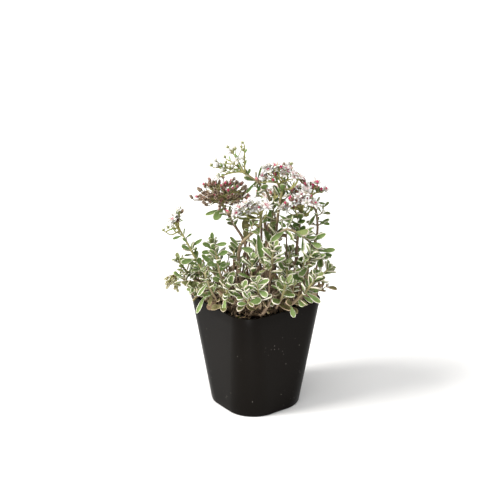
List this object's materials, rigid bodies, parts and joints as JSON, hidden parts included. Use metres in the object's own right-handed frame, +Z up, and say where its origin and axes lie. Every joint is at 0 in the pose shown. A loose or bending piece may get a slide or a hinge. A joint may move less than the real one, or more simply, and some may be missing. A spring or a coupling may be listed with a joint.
{
  "type": "potted stonecrop plant",
  "caption": "Variegated stonecrop with leafy shoots and branched flower heads, rooted in soil in a tapered square nursery pot.",
  "frame": {"origin": "middle of the pot's flat underside", "axes": "+Z up along the plant, X and Y along the sides of the square pot"},
  "size_m": [0.1373, 0.1287, 0.2359],
  "materials": {
    "pot_plastic": "satin",
    "soil": "matte",
    "foliage": "satin",
    "white_flowers": "matte",
    "spent_flowers": "matte"
  },
  "bodies": {
    "root": {"pot": "pot_plastic", "potting_soil": "soil", "stem_far_left": "foliage", "stem_left_pale": "foliage", "stem_left_low": "foliage", "stem_left_head": "foliage", "stem_tan": "foliage", "stem_top": "foliage", "stem_right_trunk": "foliage", "stem_mid_trunk": "foliage", "stem_right_outer": "foliage", "stem_arching": "foliage", "shoot_right_low": "foliage", "shoot_center": "foliage", "shoot_front_left": "foliage", "shoot_front": "foliage", "shoot_front_corner": "foliage", "shoot_inner_left": "foliage", "shoot_right_leafy": "foliage", "shoot_right_edge": "foliage", "shoot_left_rosette": "foliage", "shoot_front_right": "foliage", "shoot_inner_right": "foliage", "shoot_left_mid": "foliage", "shoot_left_side": "foliage", "shoot_left_front": "foliage", "shoot_back_left": "foliage", "shoot_back_inner": "foliage", "shoot_back": "foliage", "shoot_back_right": "foliage", "shoot_back_far": "foliage", "shoot_back_corner": "foliage", "shoot_back_side": "foliage", "stem_back": "foliage", "head_top": "white_flowers", "head_left": "spent_flowers", "head_tan": "white_flowers", "head_mid": "white_flowers", "head_right": "white_flowers", "head_right_outer": "spent_flowers", "head_far_left": "white_flowers", "head_left_low": "spent_flowers", "head_back": "white_flowers"}
  },
  "joints": []
}
